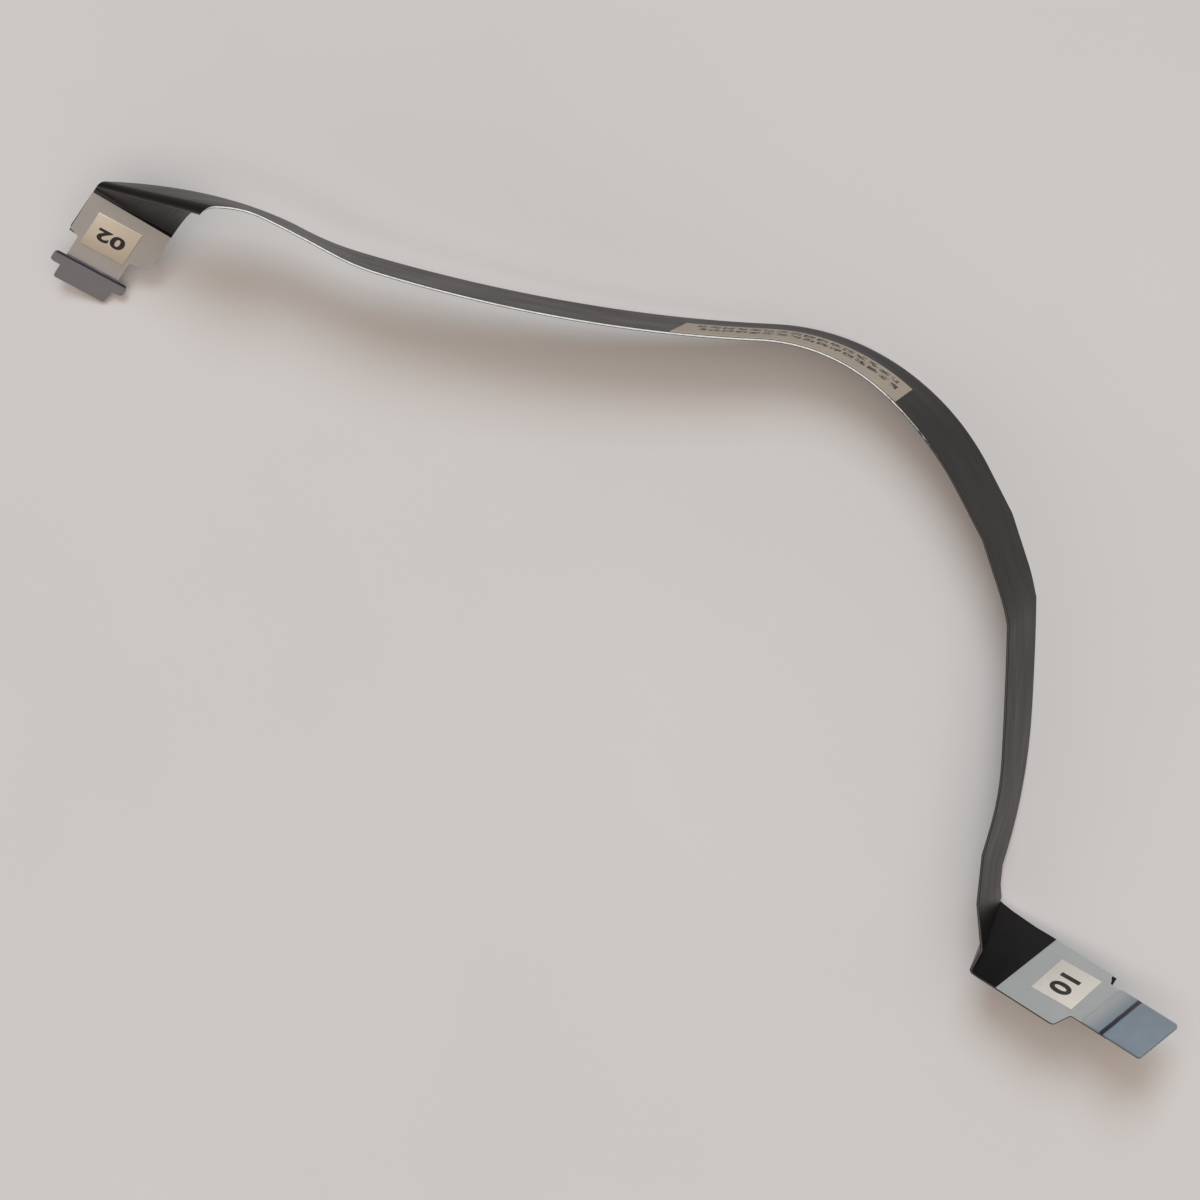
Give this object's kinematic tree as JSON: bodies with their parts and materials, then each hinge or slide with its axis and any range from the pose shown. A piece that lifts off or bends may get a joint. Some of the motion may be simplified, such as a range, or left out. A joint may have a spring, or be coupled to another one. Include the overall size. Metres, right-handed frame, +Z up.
{
  "type": "flat flex cable",
  "caption": "Flat flex cable with black covers, necked contact tails with stiffeners and paper labels, folded near one end and curled over at the other.",
  "frame": {"origin": "on the table, below the centre of the box round the cable as it lies", "axes": "+Z up from the table, +X along the longer side of the folded cable, from end b to end a"},
  "size_m": [0.1186, 0.0689, 0.0163],
  "materials": {
    "film_light": "satin",
    "film_white": "satin",
    "tinned_copper": "satin",
    "cover_black": "gloss",
    "stiffener_blue": "satin",
    "stiffener_grey": "satin",
    "paper_white": "matte",
    "paper_cream": "matte"
  },
  "bodies": {
    "root": {"top_insulation": "film_light", "bottom_insulation": "film_white", "conductor_01": "tinned_copper", "conductor_02": "tinned_copper", "conductor_03": "tinned_copper", "conductor_04": "tinned_copper", "conductor_05": "tinned_copper", "conductor_06": "tinned_copper", "conductor_07": "tinned_copper", "conductor_08": "tinned_copper", "conductor_09": "tinned_copper", "conductor_10": "tinned_copper", "cover_front": "cover_black", "cover_back": "cover_black", "stiffener_a": "stiffener_blue", "stiffener_b": "stiffener_grey", "label_a": "paper_white", "label_b": "paper_cream", "label_long": "paper_cream"}
  },
  "joints": []
}
